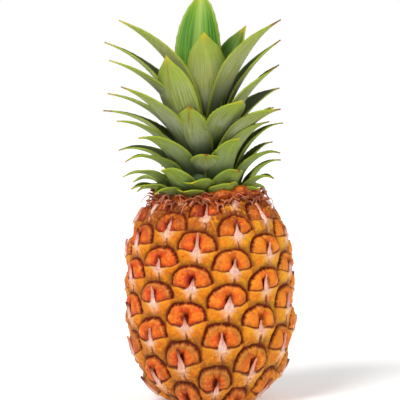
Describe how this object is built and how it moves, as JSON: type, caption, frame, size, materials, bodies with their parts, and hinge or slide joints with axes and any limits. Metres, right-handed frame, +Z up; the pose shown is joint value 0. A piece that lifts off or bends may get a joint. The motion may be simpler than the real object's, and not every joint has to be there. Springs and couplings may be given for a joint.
{
  "type": "pineapple",
  "caption": "Whole ripe pineapple with a spiral of knobbly eyes and a leafy crown, standing upright on its cut base.",
  "frame": {"origin": "where the fruit's axis meets the surface that it stands on, at the centre of the cut stalk's face", "axes": "+Z up along the fruit's axis, -Y towards the side that the picture shows, +X to the picture's right"},
  "size_m": [0.1329, 0.1224, 0.287],
  "materials": {
    "rind": "waxy, slightly glossy ripe orange and yellow rind with dark brown grooves",
    "cut_stalk": "dry fibrous cut face",
    "dry_bracts": "papery, shrivelled, reddish brown",
    "leaf": "stiff, waxy grey-green with a whitish bloom, glossier inside"
  },
  "bodies": {
    "root": {"fruit": "rind", "stem_stub": "cut_stalk", "neck_bracts": "dry_bracts", "crown": "leaf"}
  },
  "joints": []
}
